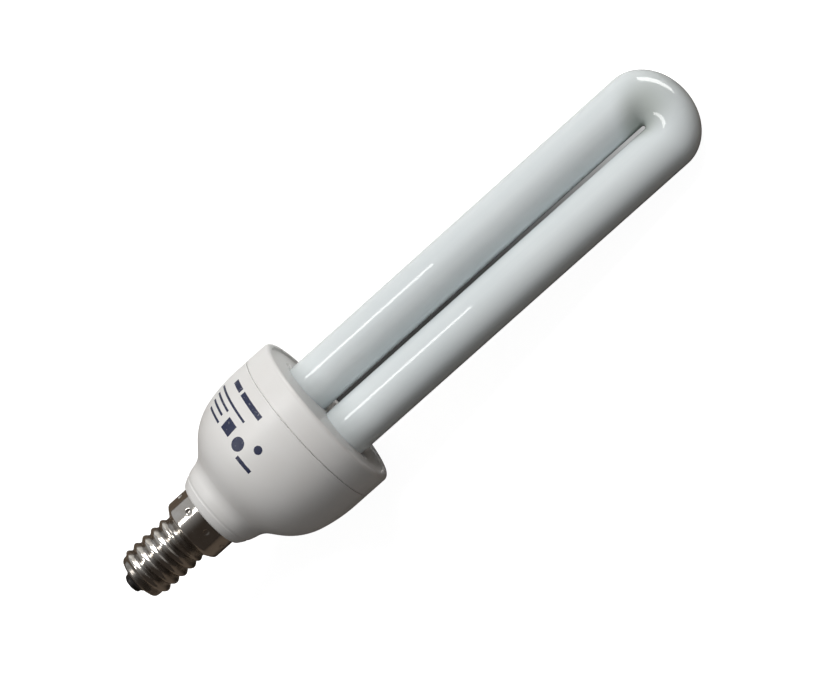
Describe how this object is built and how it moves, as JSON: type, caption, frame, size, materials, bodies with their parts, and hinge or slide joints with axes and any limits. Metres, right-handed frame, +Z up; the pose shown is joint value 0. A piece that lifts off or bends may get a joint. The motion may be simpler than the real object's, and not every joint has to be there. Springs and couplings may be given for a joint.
{
  "type": "ultraviolet insect trap lamp",
  "caption": "Compact U-shaped ultraviolet tube with white ballast housing and small screw cap, for an insect trap.",
  "frame": {"origin": "middle of the footprint, on the surface that the lamp lies on", "axes": "+X from the screw cap toward the tube's bend, level; +Z up; the two legs of the tube lie side by side along Y; the lamp's own axis slopes down toward +X by 7.97 degrees, as it lies at rest"},
  "size_m": [0.1772, 0.0432, 0.0445],
  "materials": {
    "tinned_contact": "dull, darkened solder",
    "black_glass": "glossy black glass",
    "nickel_shell": "bright nickel plating, lightly tarnished",
    "white_housing": "satin moulded, white",
    "white_holder": "satin moulded, white",
    "coated_glass": "clear outside, milky white coating inside",
    "cement": "matt",
    "board": "paper laminate",
    "solder": "bright tin",
    "capacitor_sleeve": "shrink sleeve",
    "ferrite": "matt grey",
    "bobbin_plastic": "moulded",
    "copper_wire": "enamelled copper",
    "red_wire": "insulated",
    "blue_wire": "insulated",
    "black_epoxy": "moulded",
    "blue_glaze": "glazed",
    "green_epoxy": "dipped",
    "brown_epoxy": "dipped",
    "tan_glaze": "glazed"
  },
  "bodies": {
    "root": {"centre_contact": "tinned_contact", "cap_insulator": "black_glass", "screw_shell": "nickel_shell", "housing": "white_housing", "tube_holder": "white_holder", "glass_tube": "coated_glass", "tube_cement": "cement", "circuit_board": "board", "solder_joints": "solder", "smoothing_capacitor": "capacitor_sleeve", "choke_core": "ferrite", "choke_bobbin": "bobbin_plastic", "choke_coil": "copper_wire", "toroid_core": "ferrite", "toroid_windings": "red_wire", "power_transistors": "black_epoxy", "rectifier_diodes": "black_epoxy", "trigger_diac": "blue_glaze", "film_capacitor": "green_epoxy", "start_capacitor": "brown_epoxy", "resistors": "tan_glaze", "fusible_resistor": "green_epoxy", "wrap_pins": "solder", "filament_leads": "solder", "centre_lead": "red_wire", "side_lead": "blue_wire"}
  },
  "joints": []
}
